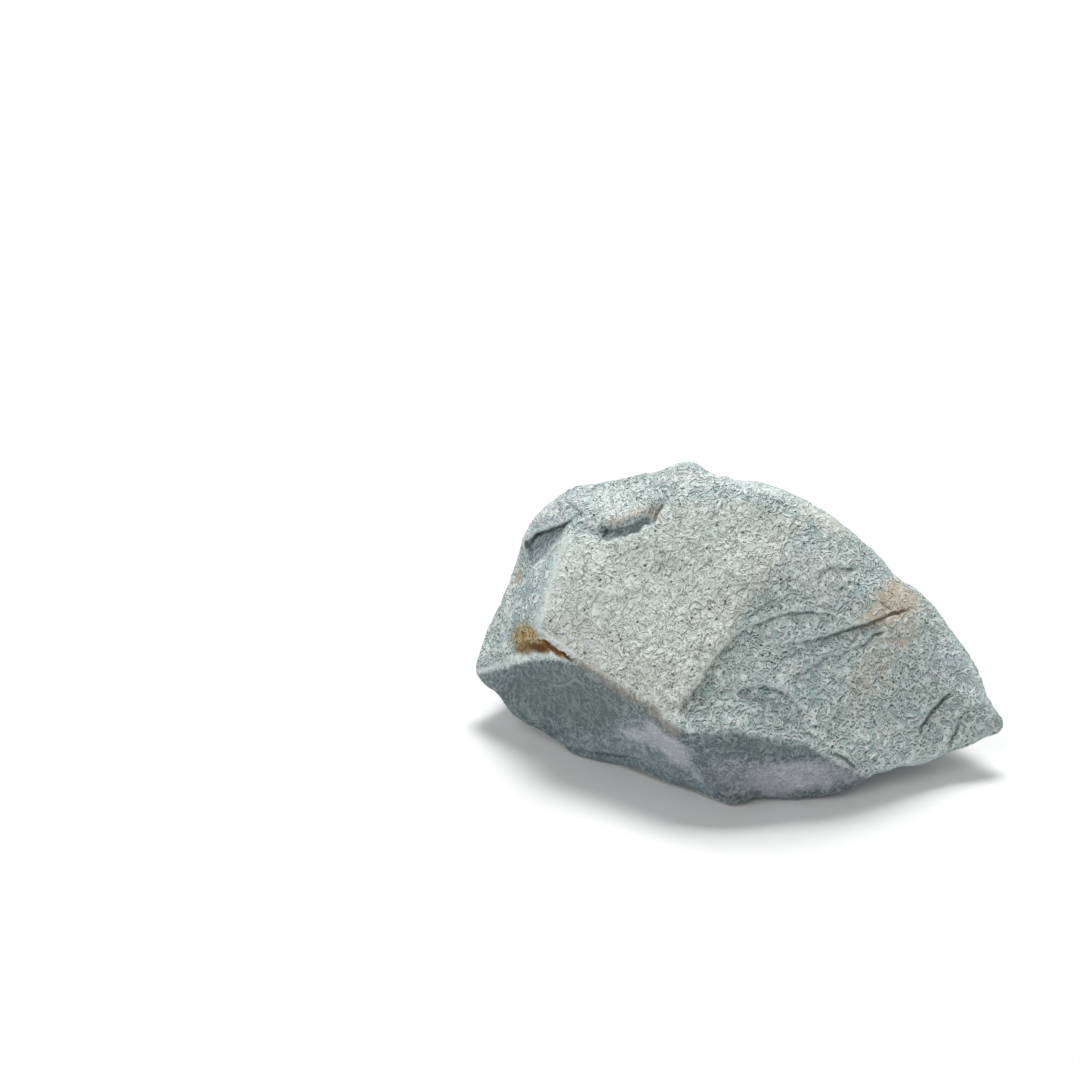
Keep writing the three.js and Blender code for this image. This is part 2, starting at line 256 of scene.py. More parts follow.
CRACKS = (
    Crack(((-46, 36.9), (-43, 35.2), (-40, 33), (-38, 31.8), (-36.6, 30.8)), 0.45, 0.9, 0.8),
    Crack(((-32.8, 58.2), (-31.6, 59.8), (-30.6, 61.3), (-29.8, 62.4)), 0.4, 1.0, 0.75),
    Crack(((-28.7, 60.2), (-28.5, 58), (-27.7, 55.8)), 0.35, 0.4, 0.35, 0.2),
    Crack(((-23.1, 61.6), (-23.3, 60.4), (-22.9, 59)), 0.3, 0.4, 0.35, 0.2),
    Crack(((-20.4, 62.6), (-19.6, 63.8), (-18.6, 65.7), (-17.2, 67.8)), 0.35, 0.6, 0.7),
    Crack(((-48.3, 59), (-47.4, 59.8), (-45, 61.2), (-42.5, 61.9), (-40.2, 62.7), (-37.8, 64.5)),
          0.45, 1.1, 0.85),
    Crack(((-39.4, 68.3), (-38, 66.9), (-36.6, 65.8)), 0.4, 0.5, 0.5),
    Crack(((-38.6, 65.2), (-36.8, 65.7), (-35.4, 65.5)), 0.4, 0.4, 0.4),
    Crack(((-14, 18.6), (-12.8, 21.4), (-11, 23.6), (-9.7, 25), (-8.9, 26.6), (-7.8, 28), (-7.7, 29.4),
           (-6, 31.2), (-5.2, 33), (-3.4, 34.4), (-2, 36.4), (0.2, 38.6)), 0.4, 0.6, 0.5),
    Crack(((-13.2, 18.6), (-11.6, 22.2), (-8.8, 24.6), (-7, 28), (-4.9, 31.2), (-2.6, 34), (0, 37),
           (2.4, 39.4)), 1.5, 0.9, 0.34),
    Crack(((-48.6, 57), (-46.4, 59.2), (-43.4, 60.4)), 1.5, 0.6, 0.25),
    Crack(((40.2, 43.9), (37.5, 43.1), (35, 42.4), (32.5, 41.6), (30, 40.7), (27.5, 39.8), (25, 39.1)),
          0.32, 0.6, 0.75),
    Crack(((29, 40.4), (27.5, 39.8), (25, 39), (22, 38), (20, 37.3), (17.5, 36.8)), 0.5, 0.7, 0.6),
    Crack(((28.7, 40.1), (27, 38.2), (25.8, 36.3), (24.2, 34.4)), 0.5, 0.5, 0.45),
    Crack(((33.4, 38.8), (31.6, 38.1), (30.2, 37.8), (29.4, 36.6), (28.4, 35.3), (25.8, 35)), 0.35, 0.5, 0.6),
    Crack(((31.6, 45.4), (33.3, 44.2), (35, 43)), 0.35, 0.4, 0.6),
    Crack(((0.6, 41), (2.5, 42.3), (5, 44.1), (7, 45.3), (9.2, 46.3)), 0.35, 0.4, 0.4),
    Crack(((6.8, 44.4), (8.3, 43), (9.8, 41.7)), 0.3, 0.25, 0.25),
    Crack(((5.3, 40.4), (8.5, 41.9), (12, 42.8), (16, 43), (19.5, 42.8)), 0.35, 0.35, 0.35),
    Crack(((21.8, 54.3), (22.8, 53.2), (24.5, 52.7), (26.6, 52.8)), 0.35, 0.5, 0.45, 0.5),
    Crack(((4.5, 25.9), (7.5, 25.5), (10, 24.5), (12.2, 22.6)), 0.45, 0.5, 0.35),
    Crack(((20.1, 10.6), (22.3, 10.4), (24.4, 9.1), (26.3, 7.4), (27.4, 6.4)), 0.4, 0.9, 0.85, 0.4),
    Crack(((13.4, 15.8), (14.5, 15), (15.8, 15.5), (17.1, 14)), 0.35, 0.5, 0.6),
    Crack(((48.4, 25.2), (47, 23.8), (45.5, 22.3), (44, 20.7), (43, 18.9), (41.8, 17.5), (41, 16.2),
           (41.3, 14.6)), 0.4, 0.9, 0.85),
    Crack(((41.2, 15), (43, 14), (45, 13.4), (47, 13.2)), 0.35, 0.4, 0.3),
    Crack(((-34.5, 11.2), (-30, 10.5), (-26, 9.9), (-23.8, 9.7)), 0.4, 0.6, 0.6),
    Crack(((-5.6, 1.9), (-5.1, 1.3), (-4.4, 1), (-3.2, 0.9)), 0.4, 0.5, 0.8),
    Crack(((-9.4, 45.4), (-6.5, 45.1), (-3.8, 44.8)), 0.3, 0.3, 0.25),
    Crack(((53.2, 31), (54, 29.6), (54.4, 28.2)), 0.35, 0.4, 0.3),
    Crack(((50.2, 17.8), (49, 15), (47.7, 12.3)), 0.4, 0.7, 0.6),
    Crack(((39.4, 33.5), (39.6, 28), (39, 22), (38.6, 18.5)), 1.3, 0.6, 0.25),
    Crack(((-44, 27.2), (-41.5, 26.6), (-39.3, 27.2), (-37.6, 28.6)), 0.35, 0.3, 0.3, 0.3),
    Crack(((-29, 12.9), (-27.3, 13.8), (-25, 13.1), (-24.2, 11.6)), 0.35, 0.3, 0.3, 0.3),
    Crack(((-21.7, 12.5), (-21, 9.8), (-18.6, 8.4)), 0.35, 0.25, 0.25, 0.2),
)

# Pale lines along worn edges, partly wear and partly painted highlight where the edges catch the light.
RIMS = (
    Line(((-61.2, 28.8), (-59, 29.2), (-55, 30.7), (-50, 32.3), (-47, 33.1), (-44.5, 33.2), (-41, 32.7),
         (-39.4, 32.1)), 0.7, 0.75),
    Line(((-46.3, 44), (-46.6, 40.5), (-46.2, 38.9), (-44, 37.6), (-41.5, 36), (-38.6, 33.8),
          (-36, 32.1)), 0.7, 0.85),
    Line(((-49.2, 59), (-48, 60.6), (-46.4, 61.8), (-44.4, 62.6), (-42, 63)), 0.4, 0.6),
    Line(((-39.9, 62.4), (-41, 59.9), (-42.8, 57.4), (-45.2, 55), (-47.4, 52.8)), 0.5, 0.6),
    Line(((-39.6, 61.6), (-41, 57.5), (-42.6, 52), (-44, 46.6), (-45.6, 41.5), (-46.3, 39)), 1.0, 0.85),
    Line(((33, 7.4), (38, 8.8), (44, 10.4), (50, 12.6), (55, 15), (59, 17.8)), 0.8, 0.55),
    Line(((-9, 20), (-5, 26), (-2, 30)), 0.45, 0.35),
    Line(((-4, 22.5), (-1, 27), (2, 31)), 0.45, 0.3),
    Line(((-49, 56), (-49.3, 58.6), (-47.5, 63), (-44.5, 66.6), (-41, 69.5)), 0.6, 0.5),
    Line(((-16, 76.6), (-11, 77.4), (-8.5, 76.6)), 0.7, 0.7),
    Line(((-3, 73.2), (3, 72.4), (9, 70.4), (15, 67.1), (21, 63.4), (26, 60.2), (31, 56.4), (35.5, 52)),
         1.1, 0.55),
    Line(((46, 40.5), (49.6, 35.5), (53.4, 28.8), (55.8, 23.1), (58.6, 18.5)), 0.8, 0.5),
    Line(((3.5, 41.4), (8, 42.8), (12, 43.6), (16, 43.9), (20, 43.6)), 0.5, 0.25),
    Line(((6, 39.6), (10, 40.9), (14, 41.6), (18, 41.8), (21, 41)), 0.7, 0.5),
    Line(((20.6, 9.6), (22.6, 8.9), (24.8, 8), (26.9, 6.3)), 0.45, 0.6),
    Line(((16.4, 13), (18.4, 10.9), (20, 10)), 0.4, 0.5),
    Line(((19.9, 15.6), (20.4, 18), (21.3, 19.4), (22, 20.9), (23.2, 21.6), (24.3, 21.4), (25.2, 22.8)),
        0.4, 0.8),
    Line(((42.2, 11.4), (43.6, 12.6), (46, 13), (47, 12.4)), 0.5, 0.4),
)

# The smooth band between the raised face and the dark one under it.
FOOT_BAND = (
    Line(((-38.8, 33), (-38.2, 32.6), (-35.3, 30.8), (-31.7, 28.5), (-27.1, 25.5), (-23.4, 22.8),
          (-20.1, 21), (-17.8, 18.4), (-15.5, 16), (-13.2, 14)), 1.1, 0.8),
)

# Edges worn rounder than the solid's, and places where the outline swells or sinks.
ROUNDINGS = (
    Rounding(((-61, 28.6), (-55, 30.2), (-50, 31.5), (-45, 32.4), (-40, 31.8)), 1.4),
    Rounding(((-38, 30.6), (-33, 29.3), (-30, 27.8), (-25, 25), (-20, 21.6), (-16.5, 18.6), (-14, 15.8)),
             2.6),
    Rounding(((-12, 15.4), (-6, 15), (0, 14.8), (8, 14.7), (13, 14.6), (15.6, 13.2), (18, 11)), 2.4),
    Rounding(((-20, 16), (-18, 13.5), (-14, 9.8), (-9, 4), (-6.4, 1.6)), 1.8),
    Rounding(((33, 6), (38, 8), (44, 9.6), (50, 12), (57, 15), (60, 17)), 1.6),
)

SWELLS = (
    Swell(((58.6, 16), (57, 15), (50, 12.4), (44, 10.2), (38, 9), (33, 7.6)), -0.9, 1.8),
    Swell(((-7.8, 75.8), (-5.4, 74.8)), -1.0, 1.5),
    Swell(((-12.6, 77.6), (-10, 77.4)), 0.4, 1.5),
    Swell(((58.8, 21.6), (59.6, 19.6), (59, 17.6)), 0, 2.6, 0.9),
)

# The faces that turn under, painted darker partly as shade, and the bluish one among them.
UNDER_FACES = (
    (-66, 29), (-61, 28.8), (-55, 30), (-50, 31.3), (-46, 32.4), (-41, 32), (-38.6, 31.3), (-36.6, 31.1),
    (-35.1, 30.8), (-31.5, 28.6), (-26.9, 25.6), (-23.2, 23), (-19.6, 21.3), (-17.2, 18.7), (-14.8, 16.8),
    (-12.4, 15.9), (-6, 15.9), (-2, 16.1), (2, 15), (6, 14.1), (10, 13.3), (14, 12.8), (17, 11.9),
    (20.5, 9.8), (24, 8), (28, 5.9), (33, 4), (36, -8), (-66, -8),
)
BLUE_FACE = (
    (-52, 14.8), (-45, 14.6), (-38, 15.1), (-31, 15.5), (-27, 17.6), (-22, 19.6), (-18, 16.6), (-13.5, 12),
    (-8, 5), (-4, -0.5), (-5, -8), (-52, -8),
)
# Painted shade: the hollow under the lobe and the smooth underside of the shoulder's lip, painted dark
# as faces in shade, with how dark each is.
SHADED_UNDERSIDES = (
    (0.66, ((-49, 58.2), (-47.7, 59.4), (-45, 61), (-42.5, 61.7), (-40, 62.3), (-40.9, 59.9), (-44.4, 55.8),
            (-47.5, 53.3), (-48.6, 55.5))),
    (0.85, ((-31.6, 59.4), (-30.6, 61.8), (-27, 62.5), (-24.5, 63.1), (-22.4, 64), (-20.8, 64.9),
            (-20.4, 62.9), (-21.6, 62.9), (-22.7, 62), (-23.2, 61), (-24.6, 60.9), (-26.2, 60.1),
            (-28, 59.8), (-30.2, 59))),
)

# The raised face, and the broken face on its right.
SLAB = (
    (-46, 38.5), (-42, 36), (-38, 33), (-34.5, 30.3), (-30, 28), (-25, 25.3), (-20, 22), (-16.5, 18.8),
    (-14.3, 18.5), (-12.5, 23.2), (-9, 26.5), (-6.5, 31), (-3, 35.5), (0, 41.5), (3, 47), (8, 55),
    (13, 64), (0, 69), (-14, 69), (-18, 66.5), (-20, 62.8), (-24, 60.8), (-33, 59.5), (-39, 61),
    (-41.5, 55), (-44.3, 48),
)
RIGHT_FACE = (
    (-11, 17), (-8.5, 25), (-3, 34), (2, 42), (8, 50), (16, 62), (24, 59), (34, 48), (44, 40), (50, 31),
    (56, 22), (57, 17), (46, 12), (34, 9), (26, 9), (20, 12), (14, 16), (0, 16),
)

# Where each stain lies, and where shade and light are painted.
CREAM = (
    Patch((-33, 34), (15, 7), -32, 1.0),
    Patch((-47.5, 33.6), (5, 0.6), 8, 0.8),
    Patch((-20, 27.5), (11, 7), -32, 1.0),
    Patch((-30, 44), (15, 12), -20, 0.45),
    Patch((-8, 38), (8, 12), -30, 0.5),
    Patch((-3, 44), (8, 5.5), 20, 0.6),
    Patch((7, 55), (12, 2.4), 62, 0.75),
    Patch((12.5, 63), (6, 3), 55, 0.6),
    Patch((19, 64.5), (8, 1.8), -38, 1.0),
    Patch((-51, 51.3), (3.4, 1.2), 62, 1.0),
    Patch((-26, 65.5), (9, 2.6), 12, 0.6),
    Patch((35, 43), (9, 7), -10, 0.8),
    Patch((29, 27), (7, 5), 30, 0.7),
    Patch((27, 21), (5, 4), 0, 0.4),
    Patch((-31.5, 29.5), (9, 1.2), -31, 0.9),
    Patch((-20, 22.7), (7, 1.4), -38, 0.9),
    Patch((12, 29.5), (2.4, 1.6), 0, 0.6),
)
BLUSH = (
    Patch((-25, 64.6), (6.5, 1.7), 12, 0.55),
    Patch((-19.5, 65.5), (2.6, 1.6), 50, 0.55),
    Patch((-2, 40), (4, 7), -20, 0.2),
    Patch((36.3, 46.4), (6, 4.4), -30, 1.0),
    Patch((34, 42.3), (8, 3.6), 15, 0.8),
    Patch((36, 37.6), (6.5, 4.6), 20, 0.62),
    Patch((32, 32), (6, 5), 30, 0.45),
    Patch((28.5, 27.2), (3.6, 3), 0, 0.35),
)
HONEY = (
    Patch((-49.6, 36.8), (3.6, 4.1), 10, 1.0),
    Patch((-45.6, 35.2), (3.2, 1.3), -26, 1.0),
    Patch((-41.8, 33.5), (3.4, 0.8), -30, 1.0),
    Patch((-51.2, 51), (2.6, 0.9), 60, 0.5),
)
UMBER = (
    Patch((-46.6, 34.7), (2.9, 1.2), -14, 0.9),
    Patch((-43.5, 34.6), (4.2, 0.9), -32, 1.0),
    Patch((-40.9, 33.2), (3.2, 0.8), -31, 1.0),
    Patch((-49.4, 34.4), (3.2, 1.7), -5, 0.55),
    Patch((35.6, 42.8), (4.6, 0.35), 16, 0.8),
    Patch((32, 38.2), (2, 0.3), 15, 0.5),
)
LAVENDER = (
    Patch((-43, 66), (7, 3.5), 30, 0.7),
    Patch((-17, 12.6), (9, 3), -42, 0.9),
    Patch((-8.5, 4), (6, 1.3), -50, 0.45),
    Patch((-23, 15), (5, 2.4), -20, 0.7),
    Patch((-2, 6), (8, 4.4), 0, 0.42),
    Patch((12, 5), (17, 4.6), 3, 0.72),
    Patch((14, 4), (10, 1.6), 3, 0.82),
    Patch((4, 52), (7, 5), 0, 0.3),
    Patch((16, 50), (10, 6), 0, 0.35),
    Patch((46, 31), (6, 5), 0, 0.6),
    Patch((-6, 66), (5, 3.5), 0, 0.35),
    Patch((-46.2, 46), (1.4, 8), -14, 0.6),
    Patch((-35, 61), (4, 2), 20, 0.4),
)
BLUE = (
    Patch((-44.5, 58), (4.6, 2.6), 45, 1.0),
    Patch((-28, 11), (16, 4), -14, 0.35),
    Patch((-21, 9), (9, 2.6), -25, 0.5),
    Patch((8, 37.5), (10, 4), 15, 0.3),
)
# Deep grey-green: the stone's darker tone in places, and painted shade in the hollow under the lobe,
# along the cliff, in the valleys, on the dark under face and under the foot's lip.
DEEP_AND_SHADED = (
    Patch((-44.4, 57.6), (5.5, 2.6), 52, 0.25),
    Patch((-10.6, 23.5), (6, 1.0), 56, 0.4),
    Patch((-7.2, 27), (8, 1.2), 58, 0.5),
    Patch((7, 20.5), (8, 3.4), -8, 0.6),
    Patch((-49.5, 46), (3.4, 10), -16, 0.55),
    Patch((-46.5, 54), (1.6, 4), -30, 0.4),
    Patch((-21, 28), (7, 2.6), -34, 0.4),
    Patch((-18, 23.5), (5, 3.4), -40, 0.3),
    Patch((-8, 61), (10, 5), 10, 0.4),
    Patch((55, 19), (5.5, 4.5), 30, 1.0),
    Patch((57.5, 20.5), (3, 3.4), 30, 0.6),
    Patch((-40, 23.5), (16, 6.5), -18, 1.0),
    Patch((-50, 22), (9, 5), -30, 0.6),
    Patch((3, 12.4), (13, 2.8), 0, 0.7),
    Patch((-7, 12), (5, 5), 0, 0.2),
    Patch((-2, 27.5), (2.4, 9), -32, 0.2),
    Patch((16, 34), (9, 3), 12, 0.35),
    Patch((9, 22), (4.5, 2.6), -25, 0.35),
    Patch((19, 27), (3.5, 5), 0, 0.25),
    Patch((47, 22), (11, 12), 0, 0.5),
    Patch((34, 37.6), (5, 2.4), 15, 0.5),
    Patch((52, 17), (4, 4), 0, 0.3),
    Patch((36, 25), (5, 5), 0, 0.2),
    Patch((-4, 0), (4, 1.3), 0, 0.6),
)
# Paler patches: the stone's paler tone in places, and painted light on the top rim, the shoulder and
# the lip's roll, which face the light.
PALE_AND_LIT = (
    Patch((-10, 74), (12, 3.4), 0, 0.9),
    Patch((-28, 70), (12, 3), 10, 0.7),
    Patch((4, 71.3), (8, 1.8), -8, 0.65),
    Patch((17, 66.8), (7, 1), -30, 0.7),
    Patch((-50, 32.8), (5, 1), 10, 0.9),
    Patch((-43, 33.3), (4, 0.8), -8, 0.8),
    Patch((-59.5, 28.6), (1.6, 1.4), 0, 0.8),
    Patch((-54, 36), (2.5, 5), -15, 0.4),
    Patch((-40.2, 52), (2.2, 11), -13, 0.6),
    Patch((2, 29), (5, 4), 0, 0.3),
    Patch((-8, 21), (5, 3), 0, 0.35),
    Patch((13, 41.3), (8, 0.9), 6, 0.6),
    Patch((16, 54), (13, 9), -30, 0.65),
    Patch((-25, 66), (8, 2.8), 14, 0.9),
    Patch((-43.5, 65.5), (6, 3), 35, 0.35),
    Patch((-26, 46), (10, 8), 0, 0.75),
    Patch((-33, 35.5), (6, 4), -30, 0.8),
    Patch((5, 33), (8, 3.6), 15, 0.5),
    Patch((45, 12.5), (5, 0.8), 12, 0.5),
)
WIDE_STAINS_AND_SHADING = {
    "cream": CREAM, "blush": BLUSH, "lavender": LAVENDER, "blue": BLUE, "deep": DEEP_AND_SHADED, "light": PALE_AND_LIT,
}
CLOSE_STAINS = {"honey": HONEY, "umber": UMBER}

# The stains of the sides that nobody drew: how far apart, which noise and how strong.
HIDDEN_STAINS = {
    "cream": (19, 21, 0.6), "blush": (15, 22, 0.5), "blue": (17, 23, 0.4), "lavender": (13, 24, 0.5),
    "deep": (21, 25, 0.35),
}


def beside(points, chain):
    """For each drawn point: how far it is from the chain, on the left or not, and how far along."""
    best = np.full(len(points), np.inf)
    left = np.zeros(len(points), bool)
    along = np.zeros(len(points))
    corners = np.array(chain, float)
    lengths = np.linalg.norm(np.diff(corners, axis=0), axis=1)
    gone = 0.0
    for start, end, length in zip(corners, corners[1:], lengths):
        way = (end - start) / length
        rest = points - start
        share = rest @ way
        held = np.clip(share, 0, length)
        gap = np.linalg.norm(rest - held[:, None] * way, axis=1)
        nearer = gap < best
        best[nearer] = gap[nearer]
        left[nearer] = (way[0] * rest[:, 1] - way[1] * rest[:, 0])[nearer] > 0
        along[nearer] = (gone + held)[nearer]
        gone += length
    return best, left, along / gone


def tapered(along, share):
    """1 along the middle of a stroke, down to 0 at its ends."""
    return smooth_step(0, share, along) * smooth_step(0, share, 1 - along)


def inside(points, outline, softness):
    """1 for drawn points inside a closed outline, 0 outside, with a soft edge."""
    gap, _, _ = beside(points, outline + outline[:1])
    within = np.zeros(len(points), bool)
    for (x0, y0), (x1, y1) in zip(outline, outline[1:] + outline[:1]):
        if y0 == y1:
            continue
        spans = (points[:, 1] > y0) != (points[:, 1] > y1)
        within ^= spans & (points[:, 0] < x0 + (points[:, 1] - y0) / (y1 - y0) * (x1 - x0))
    return smooth_step(-softness, softness, np.where(within, gap, -gap))


def stained(points, patches):
    """The strongest of the patches at each drawn point."""
    total = np.zeros(len(points))
    for patch in patches:
        turn = math.radians(patch.turn)
        rest = points - patch.centre
        long = (rest[:, 0] * math.cos(turn) + rest[:, 1] * math.sin(turn)) / patch.size[0]
        wide = (rest[:, 1] * math.cos(turn) - rest[:, 0] * math.sin(turn)) / patch.size[1]
        fall = patch.strength * (1 - smooth_step(0.35, 1.35, np.hypot(long, wide)))
        total = np.maximum(total, fall)
    return total


def lined(points, lines):
    """The strongest of the lines at each drawn point."""
    total = np.zeros(len(points))
    for line in lines:
        gap, _, along = beside(points, line.points)
        total = np.maximum(total, line.strength * np.exp(-((gap / line.width) ** 2)) * tapered(along, 0.08))
    return total


def waves(places, length, seed):
    """Smooth noise of that wave length at the places, in millimetres, from -1 to 1."""
    shift = Vector((seed * 17.3, seed * 5.1, seed * 9.7))
    return np.array([noise.noise(Vector(place) / length + shift) for place in places])


def shaken(places, length, seed, reach):
    """How far each drawn place strays, so that no drawn line runs clean."""
    return np.stack([waves(places, length, seed + step) for step in range(2)], axis=1) * reach


def chips(seed, count, outline):
    """Small broken edges, scattered inside a drawn outline."""
    chance = random.Random(seed)
    across, up = zip(*outline)
    starts = [(chance.uniform(min(across), max(across)), chance.uniform(min(up), max(up)))
              for _ in range(4 * count)]
    within = inside(np.array(starts), outline, 0.01) > 0.5
    strokes = []
    for (x, y), kept in list(zip(starts, within))[:2 * count]:
        if not kept:
            continue
        heading = chance.gauss(0.5, 0.9)
        points = [(x, y)]
        for _ in range(3):
            heading += chance.gauss(0, 0.6)
            x += 0.9 * math.cos(heading)
            y += 0.9 * math.sin(heading)
            points.append((x, y))
        strokes.append(Ledge(tuple(points), chance.uniform(0.1, 0.35), chance.uniform(0.15, 0.5),
                             chance.uniform(0.6, 1.4), 0.12, 0.15, 0.25))
    return strokes


def hidden_strokes(seed, ledge_count=9, crack_count=14):
    """Ledges and cracks for a side that nobody drew."""
    chance = random.Random(seed)

    def walk(reach, step, bend):
        """A wandering chain of points."""
        heading = chance.uniform(-0.7, 0.7) + chance.choice((0, math.pi))
        here = [chance.uniform(-42, 42), chance.uniform(6, 52)]
        points = [tuple(here)]
        for _ in range(int(reach / step)):
            heading += chance.gauss(0, bend)
            here[0] += step * math.cos(heading)
            here[1] += step * math.sin(heading)
            points.append(tuple(here))
        return tuple(points)

    ledges = [
        Ledge(walk(chance.uniform(12, 34), 2.2, 0.3), chance.uniform(0.2, 0.5), chance.uniform(0.3, 0.8),
              chance.uniform(2, 4.5), chance.uniform(0.2, 0.6), 0.3)
        for _ in range(ledge_count)
    ]
    cracks = [
        Crack(walk(chance.uniform(5, 17), 1.3, 0.28), chance.uniform(0.45, 0.8), chance.uniform(0.3, 0.7),
              chance.uniform(0.3, 0.8), chance.uniform(0, 0.3))
        for _ in range(crack_count)
    ]
    return ledges, cracks


class Carving:
    """What the strokes do to each place: how far it rises towards the eye, and how dark or pale it gets.
    The dark is painted shade in grooves and below steps; the pale is partly wear, partly painted highlight.
    """

    def __init__(self, count):
        self.lift = np.zeros(count)
        self.dark = np.zeros(count)
        self.pale = np.zeros(count)

    def cut(self, points, strokes):
        """Adds the strokes, drawn over the places that appear at the points."""
        for stroke in strokes:
            gap, left, along = beside(points, stroke.points)
            if isinstance(stroke, Crack):
                held = tapered(along, 0.22)
                groove = np.exp(-((gap / stroke.width) ** 2)) * held
                self.lift -= stroke.depth * groove
                # The groove's painted shade.
                self.dark = np.maximum(self.dark, stroke.dark * groove)
                lip = np.exp(-(((gap - 1.9 * stroke.width) / stroke.width) ** 2)) * held * ~left
                # A paler lip beside the crack: partly wear, partly painted highlight.
                self.pale = np.maximum(self.pale, stroke.pale * lip)
                continue
            held = tapered(along, 0.12) * (1 - smooth_step(0, 1, gap / (2.6 * stroke.reach)))
            upper = smooth_step(-stroke.soft, stroke.soft, np.where(left, gap, -gap))
            rise = stroke.rise * np.exp(-gap / stroke.reach) * upper
            drop = stroke.drop * np.exp(-gap / (0.7 * stroke.reach)) * (1 - upper)
            self.lift += (rise - drop) * held
            # A painted shadow on the sunk side, below the step.
            self.dark = np.maximum(self.dark, stroke.dark * np.exp(-gap / 0.9) * held * ~left)
            # A paler raised edge: partly wear, partly painted highlight.
            self.pale = np.maximum(self.pale, stroke.pale * np.exp(-gap / 0.8) * held * left)


def merged_copy(node):
    """The node's mesh again, its loose triangles joined."""
    skin = bmesh.new()
    skin.from_mesh(node.data)
    bmesh.ops.remove_doubles(skin, verts=skin.verts, dist=0.001 * MM)
    return skin


def even_skin(skin, size):
    """The same skin in even squares of about that size."""
    mesh = bpy.data.meshes.new("uneven")
    skin.to_mesh(mesh)
    skin.free()
    carrier = bpy.data.objects.new("uneven", mesh)
    bpy.context.collection.objects.link(carrier)
    remesh = carrier.modifiers.new("Even", "REMESH")
    remesh.mode = "VOXEL"
    remesh.voxel_size = size
    evened = carrier.evaluated_get(bpy.context.evaluated_depsgraph_get())
    even = bmesh.new()
    even.from_mesh(evened.to_mesh())
    evened.to_mesh_clear()
    bpy.data.objects.remove(carrier)
    bpy.data.meshes.remove(mesh)
    return even


def edge_ends(skin):
    """The two ends of each edge, by number."""
    skin.verts.index_update()
    return np.array([[vert.index for vert in edge.verts] for edge in skin.edges])


def evened(values, edges, passes):
    """Each row moved half way to the mean of its neighbours, that many times."""
    ends = edges.ravel()
    others = edges[:, ::-1].ravel()
    count = np.bincount(ends)[:, None]
    for _ in range(passes):
        sums = [np.bincount(ends, values[others, axis]) for axis in range(3)]
        values = (values + np.stack(sums, axis=1) / count) / 2
    return values


def wear(skin, passes):
    """Rounds facets off the skin, and moves back out what that shrank."""
    edges = edge_ends(skin)
    places = np.array([vert.co for vert in skin.verts])
    worn = evened(places, edges, passes)
    worn += evened(places - worn, edges, passes)
    for vert, place in zip(skin.verts, worn):
        vert.co = place


def split_front(skin):
    """Halves the squares that the drawing shows, for its finer strokes."""
    skin.normal_update()
    places = np.array([vert.co for vert in skin.verts]) / MM
    normals = np.array([vert.normal for vert in skin.verts])
    faces_eye = np.sum(FRONT_EYE.towards(places) * normals, axis=1) > -0.05
    skin.verts.index_update()
    shown = [edge for edge in skin.edges if any(faces_eye[vert.index] for vert in edge.verts)]
    bmesh.ops.subdivide_edges(skin, edges=shown, cuts=1, use_grid_fill=True)


def relief(places, rough):
    """The roughness of broken stone: slow waves, little terraces, grain and pits, in millimetres."""
    slow = waves(places, 9, 1)
    middling = waves(places, 3.4, 2)
    fine = waves(places, 1.5, 3)
    stairs = waves(places, 6.5, 4) * 3.2 + waves(places, 2.4, 5) * 0.5
    tread = np.floor(stairs) + smooth_step(0.72, 1, stairs - np.floor(stairs))
    pits = np.array([noise.voronoi(Vector(place) / 2.7)[0][0] for place in places])
    pits = -(1 - smooth_step(0.1, 0.26, pits)) * smooth_step(0, 0.3, waves(places, 5, 6))
    return 0.28 * slow + rough * (0.11 * middling + 0.04 * fine + 0.07 * tread + 0.3 * pits)


def worn_skin(settings):
    """The solid's skin in fine triangles, its facets worn off."""
    skin = even_skin(merged_copy(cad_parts["stone"]), settings.grain * MM)
    wear(skin, settings.passes)
    split_front(skin)
    wear(skin, FINISHING_PASSES)
    bmesh.ops.triangulate(skin, faces=skin.faces)
    skin.normal_update()
    return skin


def bent(places, drawn, seen, edges):
    """The places after the worn roundings and the swells."""
    rounder = evened(places, edges, ROUNDING_PASSES)
    for rounding in ROUNDINGS:
        gap, _, _ = beside(drawn, rounding.points)
        share = np.exp(-((gap / rounding.reach) ** 2)) * seen
        places = places + (rounder - places) * share[:, None]
    for swell in SWELLS:
        gap, _, _ = beside(drawn, swell.points)
        push = FRONT_EYE.rise * swell.push + FRONT_EYE.right * swell.aside
        places = places + push * np.exp(-((gap / swell.reach) ** 2))[:, None]
    return places


def carved(places, normals, drawn, seen, wander, strength):
    """The places after every ledge and crack, and how dark (painted shade) and how pale (part wear, part
    painted highlight) those leave them.
    """
    front = Carving(len(places))
    front.cut(drawn + wander, LEDGES)
    front.cut(drawn + wander * 0.5, CRACKS)
    front.cut(drawn, chips(seed=5, count=90, outline=RIGHT_FACE))
    front.cut(drawn, chips(seed=6, count=30, outline=SLAB))
    # Dark is painted shade in grooves and below steps; pale is partly wear, partly painted highlight.
    dark = front.dark * seen
    pale = np.maximum(front.pale, lined(drawn + wander * 0.4, RIMS)) * seen
    places = places + FRONT_EYE.towards(places) * (front.lift * seen * strength)[:, None]
    for seed, eye in enumerate(HIDDEN_EYES, start=3):
        unseen = eye.sees(places, normals) * (1 - seen)
        side = Carving(len(places))
        for strokes in hidden_strokes(seed):
            side.cut(eye.drawn(places) + wander * 1.6, strokes)
        places = places + eye.towards(places) * (side.lift * unseen * strength)[:, None]
        dark = np.maximum(dark, side.dark * unseen)
        pale = np.maximum(pale, side.pale * unseen)
    return places, dark, pale


def turned_under(drawn):
    """How far each place lies on a face that turns under, the shaded hollow and the lip's underside among
    them; their darker colour is partly painted shade.
    """
    under = inside(drawn, UNDER_FACES, 0.85 + 1.1 * smooth_step(-30, -8, drawn[:, 0]))
    for share, outline in SHADED_UNDERSIDES:
        under = np.maximum(under, share * inside(drawn, outline, 0.35))
    return under


